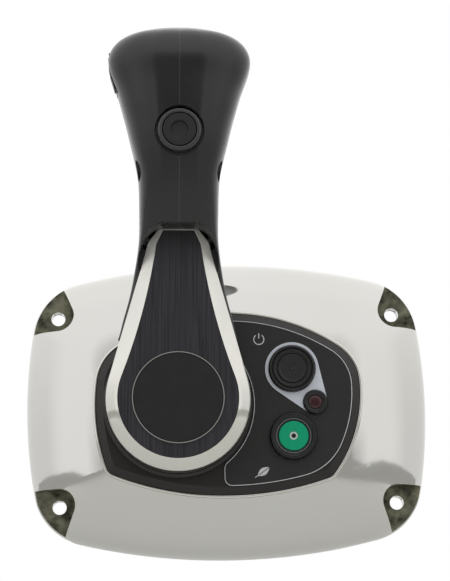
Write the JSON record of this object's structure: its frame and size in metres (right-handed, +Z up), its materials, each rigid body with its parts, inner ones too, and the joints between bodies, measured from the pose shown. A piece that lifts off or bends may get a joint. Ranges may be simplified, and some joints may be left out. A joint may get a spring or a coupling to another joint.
{
  "type": "boat throttle control lever",
  "caption": "Side-mount boat throttle: domed steel cover, black fascia with push buttons and lamp, and a chrome lever with a moulded grip that turns on a shaft.",
  "frame": {"origin": "centre of the four mounting holes, in the plane where the gasket meets the bulkhead", "axes": "-Y points out of the bulkhead to the front, +Z up along the upright lever, +X to the right"},
  "size_m": [0.2, 0.1641, 0.2537],
  "materials": {
    "polished_steel": "mirror polished stainless steel",
    "gasket_rubber": "matt",
    "fascia_black": "satin moulded",
    "panel_black": "fine textured",
    "trim_silver": "satin silver",
    "switch_black": "satin",
    "button_green": "satin",
    "lens_red": "dark translucent",
    "chrome_arm": "polished",
    "inlay_black": "black, vertically brushed",
    "grip_black": "satin moulded",
    "rubber_black": "matt",
    "fastener_steel": "plain",
    "machined_steel": "machined",
    "frame_steel": "powder coated",
    "bearing_bronze": "sintered",
    "brake_lining": "matt",
    "housing_black": "matt moulded",
    "board_green": "lacquered",
    "chip_black": "matt"
  },
  "bodies": {
    "base": {"cover_plate": "polished_steel", "plate_gasket": "gasket_rubber", "fascia_bezel": "fascia_black", "fascia_panel": "panel_black", "hub_collar": "fascia_black", "button_trim": "trim_silver", "start_bezel": "switch_black", "start_switch": "switch_black", "eco_bezel": "switch_black", "eco_switch": "switch_black", "switch_nuts": "fastener_steel", "lamp_bezel": "switch_black", "lamp_lens": "lens_red", "lamp_barrel": "switch_black", "brake_pad": "brake_lining", "brake_adjuster": "fastener_steel", "detent_spring": "machined_steel", "detent_screw": "fastener_steel", "frame_plate": "frame_steel", "front_bush": "bearing_bronze", "rear_housing": "housing_black", "rear_bush": "bearing_bronze", "thrust_washer": "bearing_bronze", "rear_cover": "housing_black", "connector_socket": "housing_black", "frame_screws": "fastener_steel", "housing_screws": "fastener_steel", "rear_cover_screws": "fastener_steel", "circuit_board": "board_green", "sensor_chip": "chip_black", "board_standoffs": "fastener_steel", "board_screws": "fastener_steel"},
    "lever": {"lever_arm": "chrome_arm", "arm_inlay": "inlay_black", "cap_ring": "chrome_arm", "hub_cap": "inlay_black", "lever_shaft": "machined_steel", "shaft_key": "machined_steel", "shaft_circlip": "fastener_steel", "hub_washer": "fastener_steel", "hub_bolt": "fastener_steel", "magnet_holder": "housing_black", "sensor_magnet": "machined_steel", "detent_disc": "machined_steel", "disc_key": "machined_steel", "brake_disc": "machined_steel", "disc_spacer": "machined_steel", "rear_spacer": "machined_steel", "grip_left": "grip_black", "grip_right": "grip_black", "rocker_frame": "grip_black", "rocker_switch": "switch_black", "grip_collar": "grip_black", "grip_switch": "switch_black", "grip_screws": "fastener_steel", "grip_nuts": "fastener_steel"},
    "start_cap": {"start_button": "switch_black"},
    "eco_cap": {"eco_button": "button_green"},
    "thumb_cap": {"grip_button": "rubber_black"},
    "rocker": {"side_rocker": "rubber_black"}
  },
  "joints": [
    {"name": "lever_turn", "type": "hinge", "parent": "base", "child": "lever", "pos_m": [-0.025, 0, 0], "axis": [0, -1, 0], "range_deg": [-65, 85], "deforming": ["detent_spring"]},
    {"name": "start_press", "type": "slide", "parent": "base", "child": "start_cap", "axis": [0, 1, 0], "range_m": [0, 0.0018], "stiffness_N_per_m": 1500},
    {"name": "eco_press", "type": "slide", "parent": "base", "child": "eco_cap", "axis": [0, 1, 0], "range_m": [0, 0.0018], "stiffness_N_per_m": 1500},
    {"name": "thumb_press", "type": "slide", "parent": "lever", "child": "thumb_cap", "axis": [0, 1, 0], "range_m": [0, 0.0018], "stiffness_N_per_m": 1500},
    {"name": "rocker_tilt", "type": "hinge", "parent": "lever", "child": "rocker", "pos_m": [-0.05214, -0.068, 0.15801], "axis": [0, -1, 0], "range_deg": [-7, 7], "stiffness_Nm_per_rad": 0.25}
  ]
}
